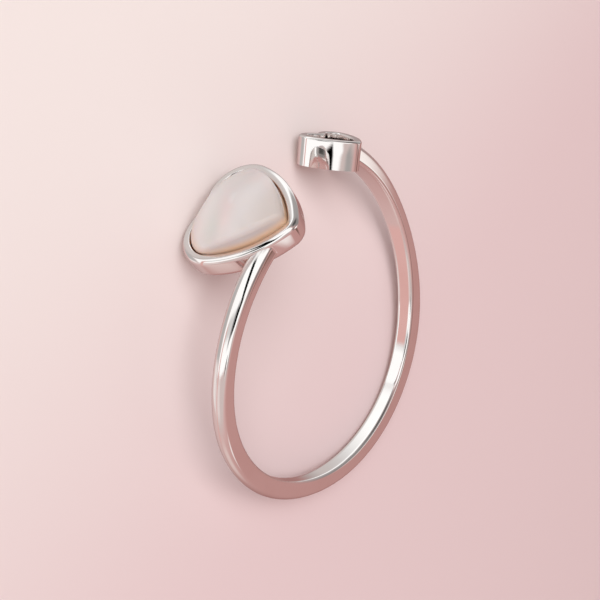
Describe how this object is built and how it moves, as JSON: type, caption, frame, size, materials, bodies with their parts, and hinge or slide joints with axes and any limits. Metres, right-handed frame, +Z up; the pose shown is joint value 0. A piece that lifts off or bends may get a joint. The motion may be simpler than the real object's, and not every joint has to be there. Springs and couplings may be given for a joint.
{
  "type": "finger ring",
  "caption": "Open silver finger ring: a slim polished band between a heart cup with a domed shell cabochon and a small open heart.",
  "frame": {"origin": "centre of the bounding box in plan, on the surface that the lying ring rests on", "axes": "+Z up from the surface, within about 10 degrees of the finger's axis; the hearts are at -X, the small open heart towards +Y"},
  "size_m": [0.02, 0.0196, 0.0059],
  "materials": {
    "polished_silver": "mirror-polished sterling silver",
    "mother_of_pearl": "polished mother-of-pearl, pale grey with faint pink and green"
  },
  "bodies": {
    "root": {"silver_ring": "polished_silver", "shell_cabochon": "mother_of_pearl"}
  },
  "joints": []
}
